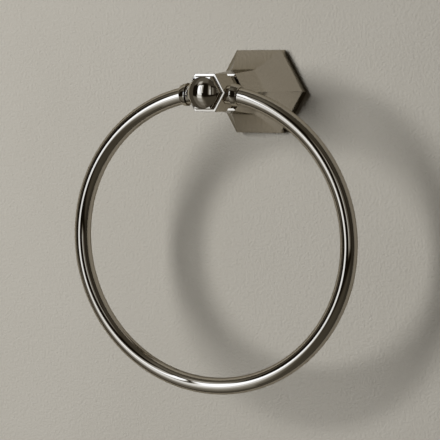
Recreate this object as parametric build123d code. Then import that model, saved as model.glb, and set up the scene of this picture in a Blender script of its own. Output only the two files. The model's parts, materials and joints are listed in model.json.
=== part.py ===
from build123d import *
from math import asin, cos, radians, sin, sqrt, tan
import os

# All sizes are in millimetres. The wall is the plane Y = 0, the post stands out along -Y and +Z is up.
# A standoff is a distance from the wall, so a standoff of 10 lies at Y = -10.

# Ring
RING_OUTER_DIAMETER = 165.0
BAR_DIAMETER = 9.0

# Head
REACH = 81.5
HEAD_LENGTH = 14.8
HEAD_ACROSS_FLATS = 20.0
CORE_ACROSS_FLATS = 16.8
STEP_HEIGHT = 3.6
NECK_LENGTH = 10.3
SPIGOT_LENGTH = 2.5
SPIGOT_CLEARANCE = 0.05
HEAD_EDGE_RADIUS = 0.35

# Dome
DOME_CAP_RADIUS = 13.2
DOME_HEIGHT = 2.7
DOME_STUD_DIAMETER = 5.0
DOME_STUD_LENGTH = 6.0

# Post
POST_FRONT_ACROSS_FLATS = 19.9
POST_TAPER_ANGLE = 6.3
FLARE_ANGLE = 28.8
FLARE_BLEND_RADIUS = 26.0
POST_EDGE_RADIUS = 0.5
RIM_ACROSS_FLATS = 46.4
RIM_DEPTH = 6.2
RIM_DRAFT_ANGLE = 1.5
RIM_ROUND_RADIUS = 5.0
POST_WALL = 3.0
HOLLOW_DEPTH = 29.0
HOLLOW_OVERRUN = 1.0

# Pivots
PIN_DIAMETER = 5.0
PIN_RUNNING_CLEARANCE = 0.05
PIN_DEPTH_IN_BAR = 5.5
PIN_END_GAP = 0.5
BUSH_DIAMETER = 10.4
BUSH_DEPTH = 6.05
BUSH_STAND_PROUD = 1.35
BUSH_CHAMFER = 0.4
COLLAR_GAP = 0.3
COLLAR_DIAMETER = 12.1
COLLAR_END_DIAMETER = 9.7
COLLAR_LENGTH = 3.4
COLLAR_FALL_ANGLE = 8.0

# Head screw
HEAD_SCREW_DIAMETER = 6.0
HEAD_SCREW_LENGTH = 30.0
HEAD_SCREW_HOLE_CLEARANCE = 0.2
HEAD_SCREW_TIP_GAP = 1.0
HEAD_SCREW_CAP_DIAMETER = 10.0
HEAD_SCREW_CAP_HEIGHT = 6.0
HEAD_SCREW_SOCKET = 5.0
HEAD_SCREW_SOCKET_DEPTH = 3.0

# Wall bracket
BRACKET_WIDTH = 20.0
BRACKET_HEIGHT = 32.0
BRACKET_THICKNESS = 4.0
BRACKET_BEVEL_ANGLE = 30.0
BRACKET_CORNER_RADIUS = 1.5
BRACKET_HOLE_DIAMETER = 4.6
BRACKET_HOLE_SPACING = 19.0
HOOK_WIDTH = 18.0
HOOK_FROM_WALL = 0.5
HOOK_CLEARANCE = 0.1
PAD_WIDTH = 10.0
PAD_HEIGHT = 2.0

# Set screw
SET_SCREW_DIAMETER = 4.0
SET_SCREW_STANDOFF = 3.0
SET_SCREW_RECESS = 1.0
SET_SCREW_TIP_DIAMETER = 1.0
SET_SCREW_TIP_LENGTH = 1.5
SET_SCREW_TIP_GAP = 0.05
SET_SCREW_SOCKET = 2.0
SET_SCREW_SOCKET_DEPTH = 2.0

# Derived standoffs along the post, from the dome's tip back
step_face = REACH - DOME_HEIGHT
head_front = step_face - STEP_HEIGHT
head_back = head_front - HEAD_LENGTH
pivot_standoff = head_front - HEAD_LENGTH / 2
post_front = head_back - NECK_LENGTH
spigot_end = post_front - SPIGOT_LENGTH
hook_end = BRACKET_THICKNESS - HOOK_FROM_WALL

# Derived heights of the post above its axis
post_taper = tan(radians(POST_TAPER_ANGLE))
flare_slope = tan(radians(FLARE_ANGLE))
front_height = POST_FRONT_ACROSS_FLATS / 2
wall_height = RIM_ACROSS_FLATS / 2
rim_height = wall_height - RIM_DEPTH * tan(radians(RIM_DRAFT_ANGLE))
mouth_height = wall_height - POST_WALL
pad_top = mouth_height - PAD_HEIGHT

# Derived ring and pivot sizes: the bar's ends stand on the pivot axis, just outside the head's ridges
ring_radius = (RING_OUTER_DIAMETER - BAR_DIAMETER) / 2
head_ridge = HEAD_ACROSS_FLATS / sqrt(3)
bush_face = head_ridge + BUSH_STAND_PROUD
bush_floor = head_ridge - BUSH_DEPTH
collar_face = bush_face + COLLAR_GAP
pivot_drop = ring_radius - sqrt(ring_radius**2 - collar_face**2)
collar_middle = collar_face + COLLAR_LENGTH / 2


def hexagon(across_flats):
    """Hexagon with level flats above and below and its points to the left and right."""
    return RegularPolygon(radius=across_flats / 2, side_count=6, major_radius=False)


def standing(sketch, start, end):
    """Sketch drawn in the wall's plane and drawn out between two standoffs."""
    return extrude(Plane.XZ.offset(start) * sketch, amount=end - start)


def six_sided(profile):
    """Solid with six equal sides, each of which follows the upper edge of a side-view profile."""
    slab = extrude(Plane.YZ * profile, amount=RIM_ACROSS_FLATS, both=True)
    return slab & slab.rotate(Axis.Y, 60) & slab.rotate(Axis.Y, 120)


def side_profile(stations):
    """Side-view profile through (standoff, half height) stations, mirrored below the post's axis."""
    upper = [(-standoff, height) for standoff, height in stations]
    lower = [(-standoff, -height) for standoff, height in reversed(stations)]
    return Polygon(*upper, *lower, align=None)


def rounded(profile, station, radius):
    """Profile with the corners at one station rounded, above and below the axis."""
    standoff, height = station
    picked = []
    for sign in (1, -1):
        corner = Vector(-standoff, sign * height)
        picked.append(profile.vertices().sort_by_distance(corner)[0])
    return fillet(picked, radius=radius)


def on_pivot(sketch, start, end):
    """Sketch centred on the pivot axis and drawn out along X between two distances from the middle."""
    return extrude(Plane.YZ.offset(start) * Pos(-pivot_standoff, -pivot_drop) * sketch, amount=end - start)


def pair(solid):
    """Solid on the right and its mirror image on the left."""
    return solid, mirror(solid, about=Plane.YZ)


def save(name, solid):
    """Write one node to its own file."""
    export_step(solid, f"parts/{name}.step")


def make_bar():
    """Full ring of round bar that hangs with its top on the post's axis."""
    return Pos(0, -pivot_standoff, -ring_radius) * Rot(90, 0, 0) * Torus(ring_radius, BAR_DIAMETER / 2)


def make_head_gap():
    """Block that fills the gap in the bar between the two collar faces."""
    return Pos(0, -pivot_standoff, 0) * Box(2 * collar_face, 2 * COLLAR_DIAMETER, 4 * COLLAR_DIAMETER)


def make_ring():
    """Bar open at the top, with a pin hole in each end."""
    pin_end = collar_face + PIN_DEPTH_IN_BAR
    hole_right, hole_left = pair(on_pivot(Circle(PIN_DIAMETER / 2), collar_face, pin_end))
    return make_bar() - make_head_gap() - hole_right - hole_left


def make_collar():
    """Collar on the right end of the bar: full next to the head, and rounding down towards the bar."""
    angle = asin(collar_middle / ring_radius)
    along = Vector(cos(angle), 0, -sin(angle))
    middle = Vector(collar_middle, -pivot_standoff, -ring_radius + ring_radius * cos(angle))
    outer, inner = COLLAR_LENGTH / 2, COLLAR_LENGTH / 2 + COLLAR_DIAMETER / 2 * sin(angle)
    crest, end = COLLAR_DIAMETER / 2, COLLAR_END_DIAMETER / 2
    fall = radians(COLLAR_FALL_ANGLE)
    brow = TangentArc((-outer, crest), (outer, end), tangent=(cos(fall), -sin(fall)))
    edge = Polyline((outer, end), (outer, 0), (-inner, 0), (-inner, crest), (-outer, crest))
    profile = Plane(origin=middle, x_dir=along, z_dir=(0, -1, 0)) * make_face([brow, edge])
    return revolve(profile, Axis(middle, along)) - make_bar() - make_head_gap()


def make_bush():
    """Sleeve in the head's right ridge, a little proud of it, that the pin turns in."""
    bush = on_pivot(Circle(BUSH_DIAMETER / 2), bush_floor, bush_face)
    bush = chamfer(bush.edges().filter_by(GeomType.CIRCLE).sort_by(Axis.X)[-1], length=BUSH_CHAMFER)
    bore = PIN_DIAMETER / 2 + PIN_RUNNING_CLEARANCE
    return bush - on_pivot(Circle(bore), bush_floor, bush_face)


def make_pin():
    """Pin in the right end of the bar, short of the bottom of the bush's hole."""
    return on_pivot(Circle(PIN_DIAMETER / 2), bush_floor + PIN_END_GAP, collar_face + PIN_DEPTH_IN_BAR)


def make_head():
    """Hexagonal block on a narrower hexagonal core, with holes for its bushes, screw and dome."""
    core = standing(hexagon(CORE_ACROSS_FLATS), spigot_end, step_face)
    core = fillet(core.faces().sort_by(Axis.Y)[0].edges(), radius=HEAD_EDGE_RADIUS)
    block = standing(hexagon(HEAD_ACROSS_FLATS), head_back, head_front)
    block = fillet(block.edges(), radius=HEAD_EDGE_RADIUS)
    pocket_right, pocket_left = pair(on_pivot(Circle(BUSH_DIAMETER / 2), bush_floor, HEAD_ACROSS_FLATS))
    screw_tip = HOLLOW_DEPTH + HEAD_SCREW_LENGTH
    screw_hole = standing(Circle(HEAD_SCREW_DIAMETER / 2), spigot_end, screw_tip + HEAD_SCREW_TIP_GAP)
    stud_hole = standing(Circle(DOME_STUD_DIAMETER / 2), step_face - DOME_STUD_LENGTH, step_face)
    return core + block - pocket_right - pocket_left - screw_hole - stud_hole


def make_dome():
    """Shallow dome on the step's face with a stud that screws into the head."""
    ball = Pos(0, DOME_CAP_RADIUS - REACH, 0) * Rot(90, 0, 0) * Sphere(DOME_CAP_RADIUS)
    front = standing(Circle(DOME_CAP_RADIUS), step_face, REACH + DOME_HEIGHT)
    stud = standing(Circle(DOME_STUD_DIAMETER / 2), step_face - DOME_STUD_LENGTH, step_face)
    return (ball & front) + stud


def make_hollow():
    """Six-sided hollow that opens at the wall and leaves an even thickness under the flare."""
    inner_height = rim_height - POST_WALL / cos(radians(FLARE_ANGLE))
    bend = RIM_DEPTH + (inner_height - mouth_height) / flare_slope
    floor_height = inner_height - flare_slope * (HOLLOW_DEPTH - RIM_DEPTH)
    mouth = (-HOLLOW_OVERRUN, mouth_height)
    return six_sided(side_profile([mouth, (bend, mouth_height), (HOLLOW_DEPTH, floor_height)]))


def make_flare():
    """Solid six-sided post: a slow taper from the neck, a hollow curve, and a rim against the wall."""
    rise = rim_height - front_height - post_taper * (post_front - RIM_DEPTH)
    waist_run = rise / (flare_slope - post_taper)
    rim = (RIM_DEPTH, rim_height)
    waist = (RIM_DEPTH + waist_run, rim_height - flare_slope * waist_run)
    profile = side_profile([(0, wall_height), rim, waist, (post_front, front_height)])
    profile = rounded(profile, waist, FLARE_BLEND_RADIUS)
    profile = rounded(profile, rim, RIM_ROUND_RADIUS)
    flare = six_sided(profile)
    return fillet(flare.faces().sort_by(Axis.Y)[0].edges(), radius=POST_EDGE_RADIUS)


def bracket_half_height(standoff):
    """Half height of the bracket at a standoff, where its slanted edges narrow towards the wall."""
    return BRACKET_HEIGHT / 2 - (BRACKET_THICKNESS - standoff) * tan(radians(BRACKET_BEVEL_ANGLE))


def make_hook():
    """Ledge across the top of the hollow that hangs behind the bracket's upper edge."""
    top = wall_height - POST_WALL / 2
    low = bracket_half_height(HOOK_FROM_WALL) + HOOK_CLEARANCE
    high = bracket_half_height(hook_end) + HOOK_CLEARANCE
    outline = [(-HOOK_FROM_WALL, low), (-hook_end, high), (-hook_end, top), (-HOOK_FROM_WALL, top)]
    return extrude(Plane.YZ * Polygon(*outline, align=None), amount=HOOK_WIDTH / 2, both=True)


def make_pad():
    """Thickening inside the bottom of the rim that the set screw is threaded through."""
    low = wall_height - POST_WALL / 2
    end = SET_SCREW_STANDOFF + SET_SCREW_DIAMETER
    outline = [(-HOOK_FROM_WALL, -low), (-end, -low), (-end, -pad_top), (-HOOK_FROM_WALL, -pad_top)]
    return extrude(Plane.YZ * Polygon(*outline, align=None), amount=PAD_WIDTH / 2, both=True)


def upright(sketch, low, high):
    """Sketch centred on the set screw's axis and drawn out upwards between two heights."""
    return extrude(Plane.XY.offset(low) * Pos(0, -SET_SCREW_STANDOFF) * sketch, amount=high - low)


def make_post():
    """Hollow flared post with its hook and pad, and holes for the spigot and the two screws."""
    post = make_flare() - make_hollow() + make_hook() + make_pad()
    socket = hexagon(CORE_ACROSS_FLATS + 2 * SPIGOT_CLEARANCE)
    post -= standing(socket, spigot_end, post_front)
    clear_hole = Circle(HEAD_SCREW_DIAMETER / 2 + HEAD_SCREW_HOLE_CLEARANCE)
    post -= standing(clear_hole, HOLLOW_DEPTH, spigot_end)
    return post - upright(Circle(SET_SCREW_DIAMETER / 2), -RIM_ACROSS_FLATS, -pad_top)


def make_head_screw():
    """Cap screw that stands on the floor of the hollow and reaches into the neck."""
    cap_end = HOLLOW_DEPTH - HEAD_SCREW_CAP_HEIGHT
    shank = standing(Circle(HEAD_SCREW_DIAMETER / 2), HOLLOW_DEPTH, HOLLOW_DEPTH + HEAD_SCREW_LENGTH)
    cap = standing(Circle(HEAD_SCREW_CAP_DIAMETER / 2), cap_end, HOLLOW_DEPTH)
    key = standing(hexagon(HEAD_SCREW_SOCKET), cap_end, cap_end + HEAD_SCREW_SOCKET_DEPTH)
    return shank + cap - key


def make_bracket():
    """Plate on the wall with slanted upper and lower edges and two screw holes, one above the other."""
    back = bracket_half_height(0)
    front = bracket_half_height(BRACKET_THICKNESS)
    outline = [(0, back), (-BRACKET_THICKNESS, front), (-BRACKET_THICKNESS, -front), (0, -back)]
    plate = extrude(Plane.YZ * Polygon(*outline, align=None), amount=BRACKET_WIDTH / 2, both=True)
    frame = RectangleRounded(BRACKET_WIDTH, BRACKET_HEIGHT, BRACKET_CORNER_RADIUS)
    plate = plate & standing(frame, 0, BRACKET_THICKNESS)
    for height in (-BRACKET_HOLE_SPACING / 2, BRACKET_HOLE_SPACING / 2):
        plate -= standing(Pos(0, height) * Circle(BRACKET_HOLE_DIAMETER / 2), 0, BRACKET_THICKNESS)
    return plate


def make_set_screw():
    """Grub screw in the underside of the rim, its tip under the bracket's lower edge."""
    low = -wall_height + SET_SCREW_RECESS
    tip_edge = SET_SCREW_STANDOFF + SET_SCREW_TIP_DIAMETER / 2
    high = -bracket_half_height(tip_edge) - SET_SCREW_TIP_GAP
    body = upright(Circle(SET_SCREW_DIAMETER / 2), low, high - SET_SCREW_TIP_LENGTH)
    tip_base = Plane.XY.offset(high - SET_SCREW_TIP_LENGTH) * Pos(0, -SET_SCREW_STANDOFF)
    tip_top = Plane.XY.offset(high) * Pos(0, -SET_SCREW_STANDOFF)
    tip = loft([tip_base * Circle(SET_SCREW_DIAMETER / 2), tip_top * Circle(SET_SCREW_TIP_DIAMETER / 2)])
    key = upright(hexagon(SET_SCREW_SOCKET), low, low + SET_SCREW_SOCKET_DEPTH)
    return body + tip - key


def main():
    """Build every node and write it out."""
    os.makedirs("parts", exist_ok=True)
    collar_right, collar_left = pair(make_collar())
    bush_right, bush_left = pair(make_bush())
    pin_right, pin_left = pair(make_pin())
    save("ring", make_ring())
    save("collar_right", collar_right)
    save("collar_left", collar_left)
    save("bush_right", bush_right)
    save("bush_left", bush_left)
    save("pivot_pin_right", pin_right)
    save("pivot_pin_left", pin_left)
    save("head", make_head())
    save("dome_finial", make_dome())
    save("flared_post", make_post())
    save("head_screw", make_head_screw())
    save("wall_bracket", make_bracket())
    save("bracket_set_screw", make_set_screw())


main()
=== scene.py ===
"""Towel ring: a round-bar ring that swings from a stepped six-sided head on a flared post.

Sizes of the object's pieces are in millimetres. The room and the camera are in metres.
"""
import json
import logging
from collections.abc import Callable, Sequence
from dataclasses import dataclass, field
from enum import Enum
from math import acos, asin, atan2, ceil, cos, degrees, hypot, pi, radians, sin, sqrt, tan
from typing import Any

import bmesh
import bpy
from mathutils import Matrix, Vector


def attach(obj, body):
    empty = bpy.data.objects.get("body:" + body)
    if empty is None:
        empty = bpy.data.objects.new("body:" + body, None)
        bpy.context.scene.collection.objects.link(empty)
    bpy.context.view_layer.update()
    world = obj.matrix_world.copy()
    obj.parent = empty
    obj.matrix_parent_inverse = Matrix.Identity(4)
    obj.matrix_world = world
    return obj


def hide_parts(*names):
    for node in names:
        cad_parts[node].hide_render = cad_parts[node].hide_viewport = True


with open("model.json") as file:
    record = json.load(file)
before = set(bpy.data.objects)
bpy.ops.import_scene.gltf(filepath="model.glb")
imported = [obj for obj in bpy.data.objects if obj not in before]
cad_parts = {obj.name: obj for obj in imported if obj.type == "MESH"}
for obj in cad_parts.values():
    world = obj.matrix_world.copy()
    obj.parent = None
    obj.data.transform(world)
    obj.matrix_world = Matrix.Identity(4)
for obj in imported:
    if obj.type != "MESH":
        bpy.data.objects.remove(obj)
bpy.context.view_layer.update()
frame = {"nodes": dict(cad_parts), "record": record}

LOG = logging.getLogger("towel_ring")

# One millimetre in metres
MM = 0.001

# Longest chord of a rounding in millimetres, and the largest angle between its points in degrees
ARC_RUN = 0.3
ARC_STEP = 6.0

# Points added this far from the ends of a flat side keep it flat, if the side is longer than HELD_RUN
HOLD = 0.06
HELD_RUN = 6 * HOLD

# Steps round each softened ridge of a hexagon
RIDGE_STEPS = 4

# Height below which a point of an outline lies on the axis
ON_AXIS = 1e-6

# Angle in degrees past which an edge stays sharp
CREASE = 33.0

Point = tuple[float, float]
Place = tuple[float, float, float]
Colour = tuple[float, float, float]


class Slot(Enum):
    """Material slots of the record."""

    NICKEL = "nickel_plated_brass"
    STAINLESS = "stainless_steel"
    ZINC = "zinc_plated_steel"


class Body(Enum):
    """Bodies of the record."""

    POST = "post"
    RING = "ring"


class Side(Enum):
    """Sides of the head, as seen from the room."""

    RIGHT = "right"
    LEFT = "left"

    def turned(self) -> Matrix:
        """Matrix that brings a piece made for the right to this side."""
        return Matrix.Diagonal((1 if self is Side.RIGHT else -1, 1, 1, 1))


class Sock:
    """Output of a node that takes part in Python arithmetic as Math nodes."""

    def __init__(self, net: "Net", socket: bpy.types.NodeSocket) -> None:
        """Keep the socket with the net that it is in."""
        self.net = net
        self.socket = socket

    def __add__(self, other: "Sock | float") -> "Sock":
        """Sum."""
        return self.net.math("ADD", self, other)

    def __radd__(self, other: float) -> "Sock":
        """Sum with a number on the left."""
        return self.net.math("ADD", other, self)

    def __sub__(self, other: "Sock | float") -> "Sock":
        """Difference."""
        return self.net.math("SUBTRACT", self, other)

    def __rsub__(self, other: float) -> "Sock":
        """Difference from a number."""
        return self.net.math("SUBTRACT", other, self)

    def __mul__(self, other: "Sock | float") -> "Sock":
        """Product."""
        return self.net.math("MULTIPLY", self, other)

    def __rmul__(self, other: float) -> "Sock":
        """Product with a number on the left."""
        return self.net.math("MULTIPLY", other, self)

    def __truediv__(self, other: "Sock | float") -> "Sock":
        """Quotient."""
        return self.net.math("DIVIDE", self, other)

    def __rtruediv__(self, other: float) -> "Sock":
        """Number divided by this value."""
        return self.net.math("DIVIDE", other, self)

    def step(self, low: float, high: float) -> "Sock":
        """Smooth step from 0 at low to 1 at high."""
        node = self.net.node("ShaderNodeMapRange", {"interpolation_type": "SMOOTHSTEP"},
                             {"Value": self, "From Min": low, "From Max": high})
        return self.net.out(node)

    def between(self, low: float, high: float, soft: float) -> "Sock":
        """1 between two values, falling softly to 0 outside them."""
        return self.step(low - soft, low + soft) * (1 - self.step(high - soft, high + soft))


class Net:
    """Node tree that is filled in from Python."""

    def __init__(self, tree: bpy.types.NodeTree) -> None:
        """Take an empty or cleared tree."""
        self.tree = tree

    def node(self, kind: str, settings: dict[str, Any] | None = None,
             sockets: dict[str | int, Any] | None = None) -> bpy.types.Node:
        """Add one node.

        Args:
            kind: Type of the node.
            settings: Properties of the node, set first.
            sockets: Values or links of its inputs, by name or number.

        Returns:
            The new node.
        """
        node = self.tree.nodes.new(kind)
        for name, value in (settings or {}).items():
            setattr(node, name, value)
        for key, value in (sockets or {}).items():
            if isinstance(value, Sock):
                self.tree.links.new(value.socket, node.inputs[key])
            else:
                node.inputs[key].default_value = value
        return node

    def out(self, node: bpy.types.Node, name: str | int = 0) -> Sock:
        """Output of a node as a value for arithmetic."""
        return Sock(self, node.outputs[name])

    def math(self, operation: str, first: Sock | float, second: Sock | float) -> Sock:
        """Math node on two values."""
        return self.out(self.node("ShaderNodeMath", {"operation": operation}, {0: first, 1: second}))

    def noise(self, scale: float, detail: float, along: Sock) -> Sock:
        """Noise of a given scale over a place."""
        node = self.node("ShaderNodeTexNoise", {}, {"Vector": along, "Scale": scale, "Detail": detail})
        return self.out(node)

    def blend(self, share: Sock, low: Colour | Sock, high: Colour | Sock) -> Sock:
        """Colour between two colours.

        Args:
            share: Share of the second colour.
            low: First colour.
            high: Second colour.

        Returns:
            The mixed colour.
        """
        ends = [end if isinstance(end, Sock) else (*end, 1) for end in (low, high)]
        node = self.node("ShaderNodeMix", {"data_type": "RGBA"}, {0: share, 6: ends[0], 7: ends[1]})
        return self.out(node, 2)

    def parts_of(self, kind: str, output: str) -> bpy.types.Node:
        """Node that splits an output of a new node of a kind into X, Y and Z."""
        return self.node("ShaderNodeSeparateXYZ", {}, {"Vector": self.out(self.node(kind), output)})


def new_net(name: str) -> tuple[bpy.types.Material, Net]:
    """New material with an empty net.

    Args:
        name: Name of the material.

    Returns:
        The material and its net.
    """
    material = bpy.data.materials.new(name)
    material.use_nodes = True
    material.node_tree.nodes.clear()
    return material, Net(material.node_tree)


@dataclass(frozen=True)
class Metal:
    """Plated or bare metal with faint uneven polish.

    Colours are linear. The polish goes between two roughness values over soft
    patches, and fine marks add a little to it.
    """

    name: str
    colour: Colour
    shade: Colour
    edge: Colour
    smooth: float
    rough: float
    patch_scale: float = 60.0
    patch_detail: float = 3.0
    patch_range: Point = (0.35, 0.7)
    patch_share: float = 0.7
    mark_scale: float = 900.0
    mark_detail: float = 2.0
    mark_range: Point = (0.4, 0.75)
    mark_depth: float = 0.0
    mark_strength: float = 0.3

    def material(self) -> bpy.types.Material:
        """Dress for the pieces of this metal.

        Returns:
            The material.
        """
        material, net = new_net(self.name)
        place = net.out(net.node("ShaderNodeTexCoord"), "Object")
        patches = net.noise(self.patch_scale, self.patch_detail, place)
        marks = net.noise(self.mark_scale, self.mark_detail, place)
        uneven = (patches.step(*self.patch_range) * self.patch_share
                  + marks.step(*self.mark_range) * (1 - self.patch_share))
        sockets: dict[str | int, Any] = {
            "Base Color": net.blend(uneven, self.colour, self.shade),
            "Metallic": 1.0,
            "Roughness": uneven * (self.rough - self.smooth) + self.smooth,
            "Specular Tint": (*self.edge, 1),
        }
        if self.mark_depth:
            bump = net.node("ShaderNodeBump", {}, {
                "Strength": self.mark_strength, "Distance": self.mark_depth, "Height": marks})
            sockets["Normal"] = net.out(bump)
        shader = net.node("ShaderNodeBsdfPrincipled", {}, sockets)
        net.node("ShaderNodeOutputMaterial", {}, {"Surface": net.out(shader)})
        return material


@dataclass(frozen=True)
class Paint:
    """Matt or half-matt paint of the room, seen from its front only."""

    name: str
    colour: Colour
    tint: Colour
    roughness: float
    grain_scale: float
    grain_depth: float
    cloud_scale: float = 9.0
    cloud_range: Point = (0.3, 0.7)
    detail: float = 3.0

    def material(self) -> bpy.types.Material:
        """Dress for a painted surface, which the camera sees through from behind.

        Returns:
            The material.
        """
        material, net = new_net(self.name)
        place = net.out(net.node("ShaderNodeTexCoord"), "Object")
        cloud = net.noise(self.cloud_scale, self.detail, place)
        grain = net.noise(self.grain_scale, self.detail, place)
        bump = net.node("ShaderNodeBump", {}, {
            "Strength": 1.0, "Distance": self.grain_depth, "Height": grain})
        paint = net.node("ShaderNodeBsdfPrincipled", {}, {
            "Base Color": net.blend(cloud.step(*self.cloud_range), self.colour, self.tint),
            "Roughness": self.roughness, "Normal": net.out(bump)})
        behind = net.out(net.node("ShaderNodeNewGeometry"), "Backfacing")
        looked_at = net.out(net.node("ShaderNodeLightPath"), "Is Camera Ray")
        clear = net.node("ShaderNodeBsdfTransparent")
        mixed = net.node("ShaderNodeMixShader", {}, {
            0: behind * looked_at, 1: net.out(paint), 2: net.out(clear)})
        net.node("ShaderNodeOutputMaterial", {}, {"Surface": net.out(mixed)})
        return material


@dataclass(frozen=True)
class Pane:
    """Bright rectangle on the window card, in shares of the card's distance from the ring."""

    left: float
    right: float
    low: float
    high: float
    level: float
    soft: float = 0.015


@dataclass(frozen=True)
class Corner:
    """Corner of an outline: distance along the axis, height off it, and rounding radius."""

    along: float
    off: float
    rounding: float = 0.0


def arc_points(centre: Vector, start: float, turn: float, radius: float, step: float) -> list[Point]:
    """Points on an arc.

    Args:
        centre: Centre of the arc.
        start: Direction of its first point, in radians.
        turn: Signed angle that it turns through, in radians.
        radius: Radius of the arc.
        step: Largest angle between points, in degrees.

    Returns:
        The points from start to end.
    """
    count = max(2, ceil(abs(degrees(turn)) / step))
    angles = [start + turn * i / count for i in range(count + 1)]
    return [(centre.x + radius * cos(a), centre.y + radius * sin(a)) for a in angles]


def rounded_corner(before: Corner, corner: Corner, after: Corner) -> list[Point]:
    """Points of one corner with its rounding.

    Args:
        before: Corner before it.
        corner: The corner itself.
        after: Corner after it.

    Returns:
        One point for a sharp corner, or the points of its arc.
    """
    tip = Vector((corner.along, corner.off))
    if corner.rounding == 0:
        return [tuple(tip)]
    back = (Vector((before.along, before.off)) - tip).normalized()
    ahead = (Vector((after.along, after.off)) - tip).normalized()
    half = back.angle(ahead) / 2
    centre = tip + (back + ahead).normalized() * corner.rounding / sin(half)
    first = tip + back * corner.rounding / tan(half) - centre
    last = tip + ahead * corner.rounding / tan(half) - centre
    turn = atan2(first.x * last.y - first.y * last.x, first.dot(last))
    step = min(ARC_STEP, degrees(ARC_RUN / corner.rounding))
    return arc_points(centre, atan2(first.y, first.x), turn, corner.rounding, step)


def held(points: Sequence[Point], closed: bool) -> list[Point]:
    """Outline with extra points near the ends of its long runs, which keep flat sides flat.

    Args:
        points: The outline.
        closed: Whether the last point joins the first.

    Returns:
        The longer outline.
    """
    full: list[Point] = []
    runs = len(points) if closed else len(points) - 1
    for index in range(runs):
        start, end = Vector(points[index]), Vector(points[(index + 1) % len(points)])
        full.append(tuple(start))
        length = (end - start).length
        if length > HELD_RUN:
            full.append(tuple(start.lerp(end, HOLD / length)))
            full.append(tuple(end.lerp(start, HOLD / length)))
    if not closed:
        full.append(tuple(points[-1]))
    return full


def outline(corners: Sequence[Corner], closed: bool = False) -> list[Point]:
    """Outline through corners, with their roundings.

    Args:
        corners: The corners in order.
        closed: Whether the last corner joins the first.

    Returns:
        Its points.
    """
    points: list[Point] = []
    for index, corner in enumerate(corners):
        after = corners[(index + 1) % len(corners)]
        points += rounded_corner(corners[index - 1], corner, after)
    return held(points, closed)


def round_section(height: float, count: int = 96) -> list[Point]:
    """Circle of points at a height off the axis."""
    return [(height * cos(2 * pi * i / count), height * sin(2 * pi * i / count)) for i in range(count)]


def hexagon_section(height: float, ridge: float) -> list[Point]:
    """Hexagon of points with level sides above and below and softened ridges.

    Args:
        height: Height of its sides off the axis.
        ridge: Radius of the ridges.

    Returns:
        The points, counter-clockwise.
    """
    turn = pi / 3
    radius = min(ridge, height / 2)
    reach = (height - radius) / cos(turn / 2)
    points: list[Point] = []
    for corner in range(6):
        middle = turn * corner
        start, end = middle - turn / 2, middle + turn / 2
        centre = Vector((reach * cos(middle), reach * sin(middle)))
        arc = arc_points(centre, start, turn, radius, degrees(turn) / RIDGE_STEPS)
        before = Vector(arc[0]) + Vector((sin(start), -cos(start))) * HOLD
        after = Vector(arc[-1]) + Vector((-sin(end), cos(end))) * HOLD
        points += [tuple(before), *arc, tuple(after)]
    return points


def skin(points: Sequence[Point], section: Callable[[float], list[Point]],
         closed: bool = False) -> bmesh.types.BMesh:
    """Closed skin round the local Z axis whose section at each point has that point's height.

    Args:
        points: Outline as (distance along the axis, height off it).
        section: Gives the points of a section of a height.
        closed: Whether the outline is a closed loop, as in a piece with a hole.

    Returns:
        The skin, faces outwards.
    """
    shell = bmesh.new()
    rows: list[list[bmesh.types.BMVert]] = []
    for along, off in points:
        if off < ON_AXIS:
            rows.append([shell.verts.new((0, 0, along))])
        else:
            rows.append([shell.verts.new((u, v, along)) for u, v in section(off)])
    pairs = list(zip(rows, rows[1:])) + ([(rows[-1], rows[0])] if closed else [])
    for low, high in pairs:
        count = max(len(low), len(high))
        for i in range(count):
            j = (i + 1) % count
            if len(low) == 1:
                shell.faces.new((low[0], high[j], high[i]))
            elif len(high) == 1:
                shell.faces.new((low[i], low[j], high[0]))
            else:
                shell.faces.new((low[i], low[j], high[j], high[i]))
    bmesh.ops.recalc_face_normals(shell, faces=shell.faces)
    return shell


def block(low: Vector, high: Vector) -> bmesh.types.BMesh:
    """Skin of a plain block.

    Args:
        low: Its lowest corner.
        high: Its highest corner.

    Returns:
        The skin.
    """
    shell = bmesh.new()
    bmesh.ops.create_cube(shell, size=1.0)
    bmesh.ops.scale(shell, vec=high - low, verts=shell.verts)
    bmesh.ops.translate(shell, vec=(low + high) / 2, verts=shell.verts)
    return shell


def add_skin(shell: bmesh.types.BMesh, extra: bmesh.types.BMesh) -> None:
    """Add one skin to another.

    Args:
        shell: The skin that grows.
        extra: The skin that is added, which is used up.
    """
    part = bpy.data.meshes.new("extra")
    extra.to_mesh(part)
    extra.free()
    shell.from_mesh(part)
    bpy.data.meshes.remove(part)


def put(name: str, data: bpy.types.ID) -> bpy.types.Object:
    """New object in the scene, at the origin.

    Args:
        name: Its name.
        data: Its mesh, light or camera.

    Returns:
        The object.
    """
    thing = bpy.data.objects.new(name, data)
    bpy.context.scene.collection.objects.link(thing)
    return thing


def smooth(mesh: bpy.types.Mesh) -> None:
    """Shade a mesh smooth up to the crease angle."""
    mesh.polygons.foreach_set("use_smooth", [True] * len(mesh.polygons))
    mesh.set_sharp_from_angle(angle=radians(CREASE))


def plain_mesh(piece: bpy.types.Object, modifier: bpy.types.Modifier) -> bpy.types.Mesh:
    """Smooth-shaded mesh of an object as its modifier makes it.

    Args:
        piece: The object.
        modifier: Its modifier, which is removed.

    Returns:
        The new mesh.
    """
    seen = piece.evaluated_get(bpy.context.evaluated_depsgraph_get())
    mesh = bpy.data.meshes.new_from_object(seen)
    piece.modifiers.remove(modifier)
    smooth(mesh)
    return mesh


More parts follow.
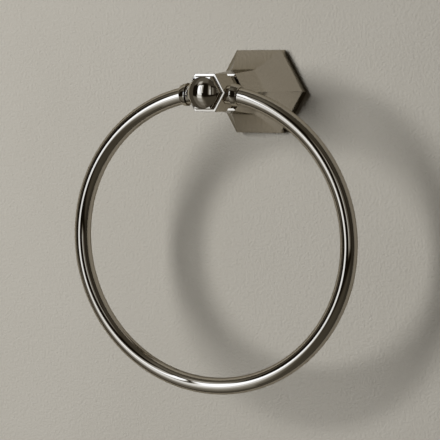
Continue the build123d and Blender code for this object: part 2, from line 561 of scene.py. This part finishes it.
def finished(name: str, shell: bmesh.types.BMesh, place: Matrix,
             material: bpy.types.Material) -> bpy.types.Object:
    """Object at the origin made from a skin in millimetres.

    Args:
        name: Name of the piece.
        shell: Its skin, which is used up.
        place: Where the skin goes, in millimetres.
        material: Its finish.

    Returns:
        The object.
    """
    shell.transform(Matrix.Scale(MM, 4) @ place)
    if place.determinant() < 0:
        shell.normal_update()
        bmesh.ops.recalc_face_normals(shell, faces=shell.faces)
    mesh = bpy.data.meshes.new(name)
    shell.to_mesh(mesh)
    shell.free()
    smooth(mesh)
    mesh.materials.append(material)
    return put(name, mesh)


def stand_for(piece: bpy.types.Object, body: Body, slot: Slot, *nodes: str) -> None:
    """Let a piece ride on a body in the place of its nodes, and log it.

    Args:
        piece: The finished piece.
        body: Body that it moves with.
        slot: Material slot of its finish; not used.
        nodes: The nodes that it is shown for.
    """
    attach(piece, body.value)
    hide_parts(*nodes)
    LOG.info("%s stands for %s: %d faces", piece.name, ", ".join(nodes), len(piece.data.polygons))


def out_from_wall() -> Matrix:
    """Turn that lays a piece's local Z axis along the post, out from the wall, with Y upright."""
    return Matrix(((1, 0, 0, 0), (0, 0, -1, 0), (0, 1, 0, 0), (0, 0, 0, 1)))


def along_bar(middle: Vector, direction: Vector) -> Matrix:
    """Turn and shift that lay a piece's local Z axis along a direction at a point."""
    turn = Vector((0, 0, 1)).rotation_difference(direction)
    return Matrix.Translation(middle) @ turn.to_matrix().to_4x4()


@dataclass(frozen=True)
class Pivot:
    """Axis of the ring's pins, and the places along it that the head and the ring share."""

    ring_radius: float = 78.0
    standoff: float = 67.8
    head_height: float = 10.0
    bush_depth: float = 6.05
    bush_proud: float = 1.35
    collar_gap: float = 0.3

    @property
    def head_ridge(self) -> float:
        """Reach of the head's side ridges from the middle."""
        return self.head_height / cos(pi / 6)

    @property
    def bush_floor(self) -> float:
        """Inner end of a bush."""
        return self.head_ridge - self.bush_depth

    @property
    def bush_face(self) -> float:
        """Outer end of a bush."""
        return self.head_ridge + self.bush_proud

    @property
    def collar_face(self) -> float:
        """Flat face of a collar, just off its bush."""
        return self.bush_face + self.collar_gap

    @property
    def drop(self) -> float:
        """Depth of the axis below the top of the ring's circle."""
        return self.ring_radius - sqrt(self.ring_radius ** 2 - self.collar_face ** 2)


@dataclass
class HungRing:
    """Round bar bent to a ring, with a bead at each end next to the head."""

    finish: Metal
    pivot: Pivot
    bar: float = 4.5
    collar_length: float = 3.4
    collar_radius: float = 6.05
    collar_end: float = 5.35
    collar_fall: float = 5.0
    collar_edge: float = 0.7
    edge_room: float = 1.2
    brow_step: float = 1.0
    end_inset: float = 0.75
    steps_along: int = 480
    steps_round: int = 64

    def bar_tree(self) -> bpy.types.NodeTree:
        """Geometry nodes that sweep a round section along an open arc.

        Returns:
            The tree, with named inputs for its sizes.
        """
        tree = bpy.data.node_groups.new("swept_bar", "GeometryNodeTree")
        net = Net(tree)
        for name, kind in (("Geometry", "NodeSocketGeometry"), ("Ring Radius", "NodeSocketFloat"),
                           ("Bar Radius", "NodeSocketFloat"), ("Start", "NodeSocketFloat"),
                           ("Sweep", "NodeSocketFloat"), ("Centre", "NodeSocketVector"),
                           ("Steps Along", "NodeSocketInt"), ("Steps Round", "NodeSocketInt"),
                           ("Finish", "NodeSocketMaterial")):
            tree.interface.new_socket(name, in_out="INPUT", socket_type=kind)
        tree.interface.new_socket("Geometry", in_out="OUTPUT", socket_type="NodeSocketGeometry")
        given = net.node("NodeGroupInput")
        path = net.node("GeometryNodeCurveArc", {"mode": "RADIUS"}, {
            "Resolution": net.out(given, "Steps Along"), "Radius": net.out(given, "Ring Radius"),
            "Start Angle": net.out(given, "Start"), "Sweep Angle": net.out(given, "Sweep")})
        upright = net.node("GeometryNodeTransform", {}, {
            "Geometry": net.out(path), "Rotation": (pi / 2, 0, 0), "Translation": net.out(given, "Centre")})
        section = net.node("GeometryNodeCurvePrimitiveCircle", {"mode": "RADIUS"}, {
            "Resolution": net.out(given, "Steps Round"), "Radius": net.out(given, "Bar Radius")})
        swept = net.node("GeometryNodeCurveToMesh", {}, {
            "Curve": net.out(upright), "Profile Curve": net.out(section), "Fill Caps": True})
        real = net.node("GeometryNodeRealizeInstances", {}, {"Geometry": net.out(swept)})
        dressed = net.node("GeometryNodeSetMaterial", {}, {
            "Geometry": net.out(real), "Material": net.out(given, "Finish")})
        net.node("NodeGroupOutput", {}, {"Geometry": net.out(dressed)})
        return tree

    def build_bar(self, material: bpy.types.Material) -> bpy.types.Object:
        """Bar of the ring, from geometry nodes.

        Args:
            material: Its finish.

        Returns:
            The piece as a plain mesh.
        """
        tree = self.bar_tree()
        radius, standoff = self.pivot.ring_radius, self.pivot.standoff
        half_gap = asin((self.pivot.collar_face + self.end_inset) / radius)
        sizes = {"Ring Radius": radius * MM, "Bar Radius": self.bar * MM,
                 "Start": pi / 2 + half_gap, "Sweep": 2 * pi - 2 * half_gap,
                 "Centre": (0.0, -standoff * MM, -radius * MM),
                 "Steps Along": self.steps_along, "Steps Round": self.steps_round, "Finish": material}
        maker = put("bar_maker", bpy.data.meshes.new("bar_maker"))
        modifier = maker.modifiers.new("swept_bar", "NODES")
        modifier.node_group = tree
        for item in tree.interface.items_tree:
            if item.in_out == "INPUT" and item.name in sizes:
                modifier[item.identifier] = sizes[item.name]
        mesh = plain_mesh(maker, modifier)
        bpy.data.objects.remove(maker)
        mesh.name = "ring_bar"
        return put("ring_bar", mesh)

    def collar_outline(self, slant: float) -> list[Point]:
        """Side-view outline of a collar about its own middle, from the head towards the bar.

        Args:
            slant: Angle between the collar's axis and the pivot's, in radians.

        Returns:
            The points, with enough length at the head's end to be cut off flat there.
        """
        half, drop = self.collar_length / 2, self.collar_radius - self.collar_end
        inner = half + self.collar_radius * sin(slant)
        fall = radians(self.collar_fall)
        turn = 2 * (atan2(drop, self.collar_length) - fall)
        sweep = hypot(self.collar_length, drop) / (2 * sin(turn / 2))
        centre = Vector((-half - sweep * sin(fall), self.collar_radius - sweep * cos(fall)))
        brow = arc_points(centre, pi / 2 - fall, -turn, sweep, self.brow_step)
        kept = [point for point in brow if point[0] < half - self.edge_room * self.collar_edge]
        edge = outline((Corner(*kept[-1]), Corner(*brow[-1], self.collar_edge), Corner(half, 0)))
        return [(-inner, 0.0), (-inner, self.collar_radius), *kept[:-1], *edge]

    def build_collar(self, side: Side, material: bpy.types.Material) -> bpy.types.Object:
        """Collar at one end of the bar, which rounds down from the head towards the bar.

        Args:
            side: End of the bar.
            material: Its finish.

        Returns:
            The piece.
        """
        face, radius = self.pivot.collar_face, self.pivot.ring_radius
        middle = face + self.collar_length / 2
        slant = asin(middle / radius)
        shell = skin(self.collar_outline(slant), round_section)
        shell.transform(along_bar(Vector((middle, -self.pivot.standoff, radius * (cos(slant) - 1))),
                                  Vector((cos(slant), 0, -sin(slant)))))
        geometry = [*shell.verts, *shell.edges, *shell.faces]
        cut = bmesh.ops.bisect_plane(shell, geom=geometry, plane_co=(face, 0, 0),
                                     plane_no=(-1, 0, 0), clear_outer=True)
        edges = [part for part in cut["geom_cut"] if isinstance(part, bmesh.types.BMEdge)]
        bmesh.ops.holes_fill(shell, edges=edges, sides=0)
        return finished(f"bead_{side.value}", shell, side.turned(), material)

    def build(self) -> None:
        """Build the ring's pieces and let them ride on the ring."""
        material = self.finish.material()
        stand_for(self.build_bar(material), Body.RING, Slot.NICKEL, "ring")
        for side in Side:
            stand_for(self.build_collar(side, material), Body.RING, Slot.NICKEL, f"collar_{side.value}")


@dataclass
class SteppedHead:
    """Six-sided head on its neck, with a step, a dome and two bushes for the ring's pins."""

    finish: Metal
    pivot: Pivot
    neck_end: float = 47.6
    back: float = 60.4
    front: float = 75.2
    step_face: float = 78.55
    core_height: float = 8.4
    edge: float = 0.25
    crown: float = 4.5
    step_crown: float = 9.0
    step_flat: float = 6.5
    step_edge: float = 0.35
    foot_rounding: float = 0.5
    dome_cap: float = 13.2
    dome_height: float = 2.95
    dome_sink: float = 0.5
    dome_step: float = 1.5
    bush_radius: float = 5.2
    bush_root: float = 4.25
    bush_bore: float = 2.55
    bush_edge: float = 0.3

    def build_block(self, material: bpy.types.Material) -> bpy.types.Object:
        """Neck, block and step in one piece, with front faces that fall away a little to their edges.

        Args:
            material: Its finish.

        Returns:
            The piece.
        """
        height, core = self.pivot.head_height, self.core_height
        block_edge = self.front - (height - core) * tan(radians(self.crown))
        step_rim = self.step_face - (core - self.step_flat) * tan(radians(self.step_crown))
        points = outline((
            Corner(self.neck_end, 0), Corner(self.neck_end, core), Corner(self.back, core),
            Corner(self.back, height, self.edge), Corner(block_edge, height, self.edge),
            Corner(self.front, core, self.foot_rounding), Corner(step_rim, core, self.step_edge),
            Corner(self.step_face, self.step_flat), Corner(self.step_face, 0)))
        shell = skin(points, lambda off: hexagon_section(off, self.edge))
        return finished("head_block", shell, out_from_wall(), material)

    def build_dome(self, material: bpy.types.Material) -> bpy.types.Object:
        """Dome on the step's face: a shallow cap.

        Args:
            material: Its finish.

        Returns:
            The piece.
        """
        centre = self.step_face + self.dome_height - self.dome_cap
        meet = acos((self.dome_cap - self.dome_height) / self.dome_cap)
        cap = arc_points(Vector((centre, 0)), meet, -meet, self.dome_cap, self.dome_step)
        base, foot = self.step_face - self.dome_sink, self.dome_cap * sin(meet)
        points = [(base, 0.0), (base, foot), *cap[:-1], (centre + self.dome_cap, 0.0)]
        return finished("dome", skin(points, round_section), out_from_wall(), material)

    def build_bush(self, side: Side, material: bpy.types.Material) -> bpy.types.Object:
        """Bush on one side of the head, which widens towards its face.

        Args:
            side: Side of the head.
            material: Its finish.

        Returns:
            The piece.
        """
        floor, face = self.pivot.bush_floor, self.pivot.bush_face
        points = outline((Corner(floor, self.bush_bore), Corner(floor, self.bush_root),
                          Corner(face, self.bush_radius, self.bush_edge), Corner(face, self.bush_bore)),
                         closed=True)
        place = along_bar(Vector((0, -self.pivot.standoff, -self.pivot.drop)), Vector((1, 0, 0)))
        shell = skin(points, round_section, closed=True)
        return finished(f"bush_sleeve_{side.value}", shell, side.turned() @ place, material)

    def build(self) -> None:
        """Build the head's pieces and let them ride on the post."""
        material = self.finish.material()
        stand_for(self.build_block(material), Body.POST, Slot.NICKEL, "head")
        stand_for(self.build_dome(material), Body.POST, Slot.NICKEL, "dome_finial")
        for side in Side:
            stand_for(self.build_bush(side, material), Body.POST, Slot.NICKEL, f"bush_{side.value}")


@dataclass
class FlaredPost:
    """Hollow six-sided post that flares to a rim on the wall."""

    finish: Metal
    front: float = 50.1
    front_height: float = 9.95
    taper_angle: float = 5.2
    flare_angle: float = 28.4
    flare_hollow: float = 4.0
    blend_radius: float = 12.0
    edge: float = 0.35
    crown: float = 3.2
    ridge: float = 0.2
    wall_height: float = 23.2
    rim_depth: float = 6.2
    rim_draft: float = 1.5
    rim_rounding: float = 2.0
    thickness: float = 3.0
    hollow_depth: float = 29.0
    socket_height: float = 8.45
    socket_floor: float = 47.6
    screw_hole: float = 3.2
    hook_width: float = 18.0
    hook_from_wall: float = 0.5
    hook_end: float = 3.5
    hook_low: float = 14.079
    hook_slant: float = 30.0
    pad_width: float = 10.0
    pad_top: float = 18.2
    pad_end: float = 7.0
    screw_radius: float = 2.0
    screw_standoff: float = 3.0
    plug_below: float = 2.0
    plug_above: float = 1.0
    plug_sides: int = 48

    def flare_middle(self, rim: float, waist: float) -> Corner:
        """Corner halfway down the flare that makes it hollow.

        Args:
            rim: Height of the rim's front edge.
            waist: Distance along the axis from that edge to the bend into the post.

        Returns:
            The corner, with a rounding that takes up what the bend into the post leaves of the flare.
        """
        bend = radians(self.flare_hollow)
        steep = radians(self.flare_angle) + bend
        run = waist / cos(radians(self.flare_angle)) / 2
        reach = run / cos(bend)
        taken = self.blend_radius * tan((steep - 2 * bend - radians(self.taper_angle)) / 2) + HOLD
        return Corner(self.rim_depth + reach * cos(steep), rim - reach * sin(steep),
                      (reach - taken) / tan(bend))

    def corners(self) -> list[Corner]:
        """Corners of the post's side-view outline, round its wall.

        Returns:
            The outer corners from the wall to the front, then the inner ones back to the wall.
        """
        taper, slope = tan(radians(self.taper_angle)), tan(radians(self.flare_angle))
        rim = self.wall_height - self.rim_depth * tan(radians(self.rim_draft))
        waist = (rim - self.front_height - taper * (self.front - self.rim_depth)) / (slope - taper)
        front_edge = self.front - (self.front_height - self.socket_height) * tan(radians(self.crown))
        mouth = self.wall_height - self.thickness
        inner = rim - self.thickness / cos(radians(self.flare_angle))
        turn_in = self.rim_depth + (inner - mouth) / slope
        floor = inner - slope * (self.hollow_depth - self.rim_depth)
        return [Corner(0, self.wall_height), Corner(self.rim_depth, rim, self.rim_rounding),
                self.flare_middle(rim, waist),
                Corner(self.rim_depth + waist, rim - slope * waist, self.blend_radius),
                Corner(front_edge, self.front_height, self.edge), Corner(self.front, self.socket_height),
                Corner(self.socket_floor, self.socket_height), Corner(self.socket_floor, self.screw_hole),
                Corner(self.hollow_depth, self.screw_hole), Corner(self.hollow_depth, floor),
                Corner(turn_in, mouth), Corner(0, mouth)]

    def hook(self) -> bmesh.types.BMesh:
        """Ledge with a slanted underside that hangs behind the bracket's upper edge.

        Returns:
            Its skin.
        """
        top = self.wall_height - self.thickness / 2
        low = Vector((-self.hook_width / 2, -self.hook_end, self.hook_low))
        high = Vector((self.hook_width / 2, -self.hook_from_wall, top))
        middle = (low + high) / 2
        shell = block(low, high)
        for vert in shell.verts:
            if vert.co.y < middle.y and vert.co.z < middle.z:
                vert.co.z += (self.hook_end - self.hook_from_wall) * tan(radians(self.hook_slant))
        return shell

    def pad(self) -> bmesh.types.BMesh:
        """Thickening inside the rim that the set screw goes through."""
        low = Vector((-self.pad_width / 2, -self.pad_end, self.thickness / 2 - self.wall_height))
        return block(low, Vector((self.pad_width / 2, -self.hook_from_wall, -self.pad_top)))

    def plug(self, material: bpy.types.Material) -> bpy.types.Object:
        """Plug in the shape of the set screw's hole.

        Args:
            material: Finish of the hole.

        Returns:
            The plug.
        """
        start, end = -self.wall_height - self.plug_below, self.plug_above - self.pad_top
        points = [(start, 0.0), (start, self.screw_radius), (end, self.screw_radius), (end, 0.0)]
        shell = skin(points, lambda height: round_section(height, self.plug_sides))
        return finished("hole_plug", shell, Matrix.Translation((0, -self.screw_standoff, 0)), material)

    def build(self) -> None:
        """Build the post, cut the set screw's hole and let the post ride."""
        material = self.finish.material()
        points = outline(self.corners(), closed=True)
        shell = skin(points, lambda height: hexagon_section(height, self.ridge), closed=True)
        shell.transform(out_from_wall())
        add_skin(shell, self.hook())
        add_skin(shell, self.pad())
        piece = finished("post_body", shell, Matrix.Identity(4), material)
        plug = self.plug(material)
        cut = piece.modifiers.new("set_screw_hole", "BOOLEAN")
        cut.operation = "DIFFERENCE"
        cut.object = plug
        cut.solver = "EXACT"
        cut.use_self = True
        piece.data = plain_mesh(piece, cut)
        bpy.data.objects.remove(plug)
        stand_for(piece, Body.POST, Slot.NICKEL, "flared_post")


@dataclass
class HiddenFixings:
    """Pins, screws and bracket, which keep their own shapes and get the finish of their slot."""

    finishes: dict[Slot, Metal]

    def build(self) -> None:
        """Give each node of these slots its finish."""
        for slot, metal in self.finishes.items():
            material = metal.material()
            for part in frame["record"]["subparts"]:
                if part["material_slot"] == slot.value:
                    mesh = frame["nodes"][part["node"]].data
                    mesh.materials.clear()
                    mesh.materials.append(material)
                    LOG.info("%s dressed with %s", part["node"], metal.name)


@dataclass
class Room:
    """Painted wall and floor, a soft lamp at the left, and a dim room with windows for the metal.

    The lamp and the lit colours light the paint. The card and the mirrored colours
    are seen only by reflection, so that the metal has a room to mirror.
    """

    wall: Paint
    floor: Paint
    wall_gap: float = 0.0002
    wall_half_width: float = 2.2
    wall_top: float = 1.8
    hole_height: float = 0.0215
    floor_level: float = -0.63
    floor_depth: float = 5.0
    floor_half_width: float = 6.2
    lamp_place: Place = (-1.14, -2.37, 0.39)
    lamp_size: Point = (1.0, 1.2)
    lamp_power: float = 104.0
    lamp_turn: float = 22.0
    world_spread: float = 0.9
    lit_left: Colour = (0.052, 0.042, 0.029)
    lit_right: Colour = (0.028, 0.022, 0.015)
    mirrored_left: Colour = (0.1, 0.09, 0.072)
    mirrored_right: Colour = (0.042, 0.038, 0.03)
    mirrored_above: Colour = (0.1, 0.092, 0.075)
    card_distance: float = 4.0
    card_left: float = -7.8
    card_right: float = 5.6
    card_reach: float = 12.0
    eye: Place = (0.0, -0.068, -0.078)
    dark: float = 0.008
    tint: Colour = (0.965, 1.0, 1.055)
    tone: Colour = (0.945, 1.0, 1.115)
    panes: tuple[Pane, ...] = field(default_factory=lambda: (
        # Tall windows at the left, and a dim light above them
        Pane(-0.735, -0.448, -0.045, 0.690, 2.4, 0.025),
        Pane(-0.404, -0.310, -0.045, 0.690, 2.2),
        Pane(-0.310, -0.185, 0.000, 0.690, 0.70, 0.04),
        Pane(-0.950, -0.460, 0.800, 1.300, 0.75, 0.15),
        # Sill below them, and the lit wall and floor under it
        Pane(-0.740, -0.360, -0.165, -0.045, 1.5, 0.03),
        Pane(-0.360, -0.295, -0.165, -0.045, 1.5, 0.02),
        Pane(-0.830, -0.330, -0.420, -0.165, 0.95, 0.1),
        Pane(-0.900, -0.280, -0.800, -0.300, 0.35, 0.18),
        Pane(-0.800, -0.100, -1.600, -0.600, 0.14, 0.2),
        Pane(-2.000, -0.850, -3.000, -0.360, 0.19, 0.06),
        Pane(-0.850, -0.300, -3.000, -0.165, 0.17, 0.04),
        Pane(-0.300, 1.400, -3.000, -0.330, 0.072, 0.08),
        # Ceiling
        Pane(-2.000, 0.200, 1.000, 3.000, 0.16, 0.15),
        Pane(0.200, 1.600, 0.750, 3.000, 0.06, 0.15),
        # Dimmer windows at the right
        Pane(0.270, 0.500, -0.130, 0.700, 0.30, 0.05),
        Pane(0.360, 0.500, -0.130, 0.300, 0.46, 0.05),
        Pane(0.360, 0.500, -0.150, 0.550, 0.30, 0.05),
        Pane(0.610, 0.820, -0.150, 0.550, 0.24, 0.04),
        Pane(0.820, 1.200, -0.150, 0.600, 0.05, 0.1),
    ))

    def stage_piece(self, name: str, corners: Sequence[Place], faces: Sequence[Sequence[int]],
                    material: bpy.types.Material) -> bpy.types.Object:
        """Flat piece of the room, which is no part of the object.

        Args:
            name: Its name.
            corners: Its corners.
            faces: Its faces, as numbers of corners.
            material: Its paint or glow.

        Returns:
            The piece.
        """
        mesh = bpy.data.meshes.new(name)
        mesh.from_pydata(corners, [], faces)
        mesh.materials.append(material)
        piece = put(name, mesh)
        return piece

    def build_wall(self) -> None:
        """Wall behind the base, open under it so that the base's back sees light from behind."""
        y, wide = self.wall_gap, self.wall_half_width
        reach, turn = self.hole_height / cos(pi / 6), pi / 3
        hole = [(reach * cos(turn * k), y, reach * sin(turn * k)) for k in range(6)]
        rim = [(wide, y, 0), (wide, y, self.wall_top), (-wide, y, self.wall_top),
               (-wide, y, 0), (-wide, y, self.floor_level), (wide, y, self.floor_level)]
        faces = [(6 + k, 6 + (k + 1) % 6, (k + 1) % 6, k) for k in range(6)]
        self.stage_piece("wall", hole + rim, faces, self.wall.material())

    def build_floor(self) -> None:
        """Floor for the camera's eye alone, which lights nothing and isn't mirrored."""
        wide, deep, z = self.floor_half_width, self.floor_depth, self.floor_level
        corners = [(-wide, -deep, z), (wide, -deep, z), (wide, deep, z), (-wide, deep, z)]
        floor = self.stage_piece("floor", corners, [range(4)], self.floor.material())
        floor.visible_glossy = False
        floor.visible_diffuse = False

    def card_material(self) -> bpy.types.Material:
        """Glow of the dim room and its windows: warm where dim, neutral where bright.

        Returns:
            The material.
        """
        material, net = new_net("window_card")
        place = net.parts_of("ShaderNodeTexCoord", "Object")
        depth = self.card_distance + self.eye[1]
        across = (net.out(place, "X") - self.eye[0]) / depth
        up = (net.out(place, "Z") - self.eye[2]) / depth
        level: Sock | float = self.dark
        for pane in self.panes:
            wide = across.between(pane.left, pane.right, pane.soft)
            level = level + wide * up.between(pane.low, pane.high, pane.soft) * pane.level
        parts = [net.math("POWER", level, tone) * tint for tint, tone in zip(self.tint, self.tone)]
        glow = net.node("ShaderNodeCombineColor", {}, dict(zip(("Red", "Green", "Blue"), parts)))
        emit = net.node("ShaderNodeEmission", {}, {"Color": net.out(glow), "Strength": 1.0})
        net.node("ShaderNodeOutputMaterial", {}, {"Surface": net.out(emit)})
        return material

    def build_card(self) -> None:
        """Upright card across the room, for reflections only."""
        y, left, right, reach = -self.card_distance, self.card_left, self.card_right, self.card_reach
        corners = [(left, y, -reach), (right, y, -reach), (right, y, reach), (left, y, reach)]
        card = self.stage_piece("window_card", corners, [range(4)], self.card_material())
        card.visible_camera = False
        card.visible_diffuse = False
        card.visible_shadow = False
        card.visible_transmission = False

    def build_lamp(self) -> None:
        """Soft lamp at the left, which gives the shadow on the wall."""
        data = bpy.data.lights.new("soft_lamp", "AREA")
        data.shape = "RECTANGLE"
        data.size, data.size_y = self.lamp_size
        data.energy = self.lamp_power
        lamp = put("soft_lamp", data)
        lamp.location = self.lamp_place
        lamp.rotation_euler = (pi / 2, 0, radians(self.lamp_turn))
        lamp.visible_glossy = False
        lamp.visible_camera = False

    def build_world(self) -> None:
        """Dim world that is darker on the right, with a lighter one for the metal to mirror."""
        world = bpy.data.worlds.new("dim_room")
        bpy.context.scene.world = world
        world.use_nodes = True
        world.node_tree.nodes.clear()
        net = Net(world.node_tree)
        place = net.parts_of("ShaderNodeTexCoord", "Generated")
        share, up = net.out(place, "X").step(-self.world_spread, self.world_spread), net.out(place, "Z")
        lit = net.blend(share, self.lit_left, self.lit_right)
        level = net.blend(share, self.mirrored_left, self.mirrored_right)
        mirrored = net.blend(up * up, level, self.mirrored_above)
        glossy = net.out(net.node("ShaderNodeLightPath"), "Is Glossy Ray")
        back = net.node("ShaderNodeBackground", {}, {
            "Color": net.blend(glossy, lit, mirrored), "Strength": 1.0})
        net.node("ShaderNodeOutputWorld", {}, {"Surface": net.out(back)})

    def build(self) -> None:
        """Build the room round the object."""
        self.build_wall()
        self.build_floor()
        self.build_card()
        self.build_lamp()
        self.build_world()
        LOG.info("room built")


@dataclass
class Viewpoint:
    """Camera at the photograph's angle."""

    place: Place = (0.37865, -0.8616, 0.00956)
    turn: float = 25.19
    tilt: float = 4.99
    lens: float = 136.46
    sensor: float = 36.0
    near: float = 0.01
    far: float = 50.0

    def build(self) -> None:
        """Set the camera up."""
        data = bpy.data.cameras.new("camera")
        data.lens = self.lens
        data.sensor_fit = "HORIZONTAL"
        data.sensor_width = self.sensor
        data.clip_start = self.near
        data.clip_end = self.far
        camera = put("camera", data)
        camera.location = self.place
        camera.rotation_euler = (radians(90 - self.tilt), 0, radians(self.turn))
        bpy.context.scene.camera = camera
        LOG.info("camera set")


NICKEL = Metal("polished_nickel", colour=(0.50, 0.46, 0.395), shade=(0.47, 0.43, 0.365),
               edge=(0.47, 0.44, 0.38), smooth=0.02, rough=0.045)
STAINLESS = Metal("turned_stainless", colour=(0.56, 0.55, 0.53), shade=(0.48, 0.47, 0.46),
                  edge=(0.8, 0.8, 0.8), smooth=0.22, rough=0.4,
                  patch_scale=120.0, mark_scale=1500.0, mark_depth=0.00002)
ZINC = Metal("zinc_plate", colour=(0.58, 0.6, 0.62), shade=(0.47, 0.49, 0.5),
             edge=(0.8, 0.8, 0.8), smooth=0.3, rough=0.5,
             patch_scale=90.0, mark_scale=700.0, mark_depth=0.00004)
WALL_PAINT = Paint("wall_paint", colour=(0.452, 0.430, 0.382), tint=(0.438, 0.416, 0.368),
                   roughness=0.75, grain_scale=700.0, grain_depth=0.0006)
FLOOR_PAINT = Paint("floor_paint", colour=(0.40, 0.38, 0.34), tint=(0.38, 0.36, 0.32),
                    roughness=0.3, grain_scale=40.0, grain_depth=0.0001)


def main() -> None:
    """Build every piece, the room and the camera."""
    logging.basicConfig(level=logging.INFO, format="%(name)s: %(message)s")
    bpy.context.scene.view_settings.view_transform = "Standard"
    pivot = Pivot()
    FlaredPost(NICKEL).build()
    SteppedHead(NICKEL, pivot).build()
    HungRing(NICKEL, pivot).build()
    HiddenFixings({Slot.STAINLESS: STAINLESS, Slot.ZINC: ZINC}).build()
    Room(WALL_PAINT, FLOOR_PAINT).build()
    Viewpoint().build()


if __name__ == "__main__":
    main()
